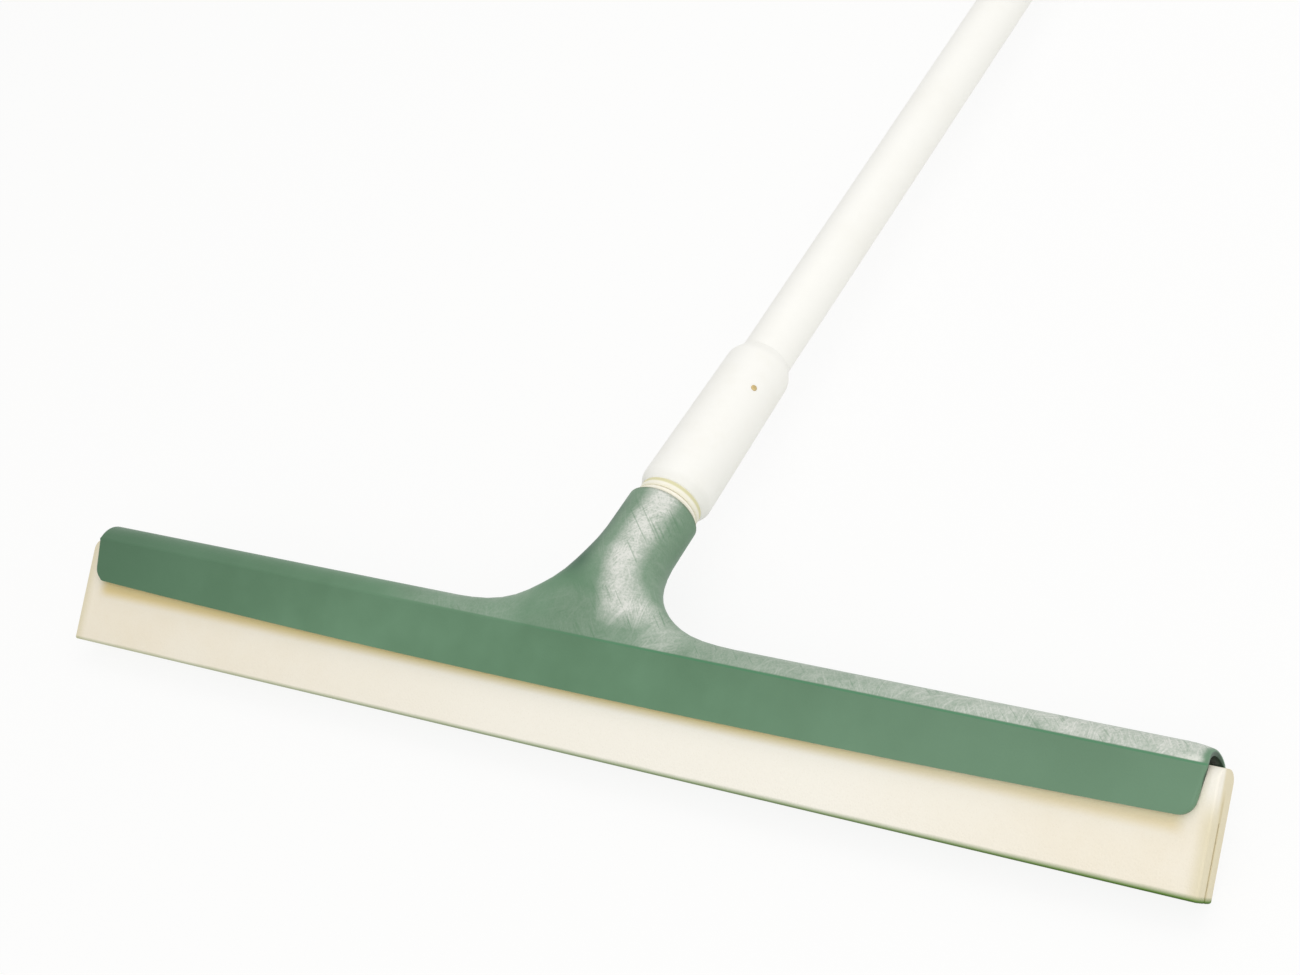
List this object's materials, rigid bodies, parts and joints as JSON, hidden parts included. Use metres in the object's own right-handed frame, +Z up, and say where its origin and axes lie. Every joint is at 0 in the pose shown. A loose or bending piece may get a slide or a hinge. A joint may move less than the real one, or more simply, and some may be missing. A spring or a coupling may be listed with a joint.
{
  "type": "floor squeegee",
  "caption": "Floor squeegee with a channel head, a flared threaded handle socket, a folded foam-rubber blade that slides out, and a screw-in covered tube handle with a hanging cap.",
  "frame": {"origin": "on the floor, under the middle of the part's length and width, with the squeegee lying as it is put down: blade's rear edge and the handle cap's rim on the floor", "axes": "+X along the blade, +Y along the handle away from the blade, +Z up"},
  "size_m": [0.6, 1.3527, 0.0579],
  "materials": {
    "head_plastic": "satin",
    "foam_rubber": "matte",
    "strip_plastic": "satin",
    "pin_metal": "satin",
    "seal_rubber": "matte",
    "cream_plastic": "satin",
    "white_plastic": "satin",
    "rivet_metal": "satin",
    "tube_metal": "satin",
    "cover_plastic": "gloss",
    "cap_plastic": "satin"
  },
  "bodies": {
    "head": {"head_body": "head_plastic"},
    "blade": {"blade_rubber": "foam_rubber", "blade_spine": "strip_plastic", "blade_pins": "pin_metal"},
    "seal": {"neck_ring": "seal_rubber"},
    "handle": {"screw_plug": "cream_plastic", "ferrule": "white_plastic", "ferrule_rivets": "rivet_metal", "handle_tube": "tube_metal", "tube_cover": "cover_plastic", "hang_cap": "cap_plastic"}
  },
  "joints": [
    {"name": "blade_slide", "type": "slide", "parent": "head", "child": "blade", "axis": [1, 0, 0], "range_m": [-0.6, 0.6]},
    {"name": "seal_lift", "type": "slide", "parent": "head", "child": "seal", "axis": [0, 0.9998, -0.0219], "range_m": [0, 0.024]},
    {"name": "handle_turn", "type": "hinge", "parent": "seal", "child": "handle", "pos_m": [0, -0.62286, 0.0405], "axis": [0, 0.9998, -0.0219], "range_deg": [0, 1440]}
  ],
  "couplings": [
    {"joint": "seal_lift", "follows": "handle_turn", "m_per_rad": 0.00095493}
  ]
}
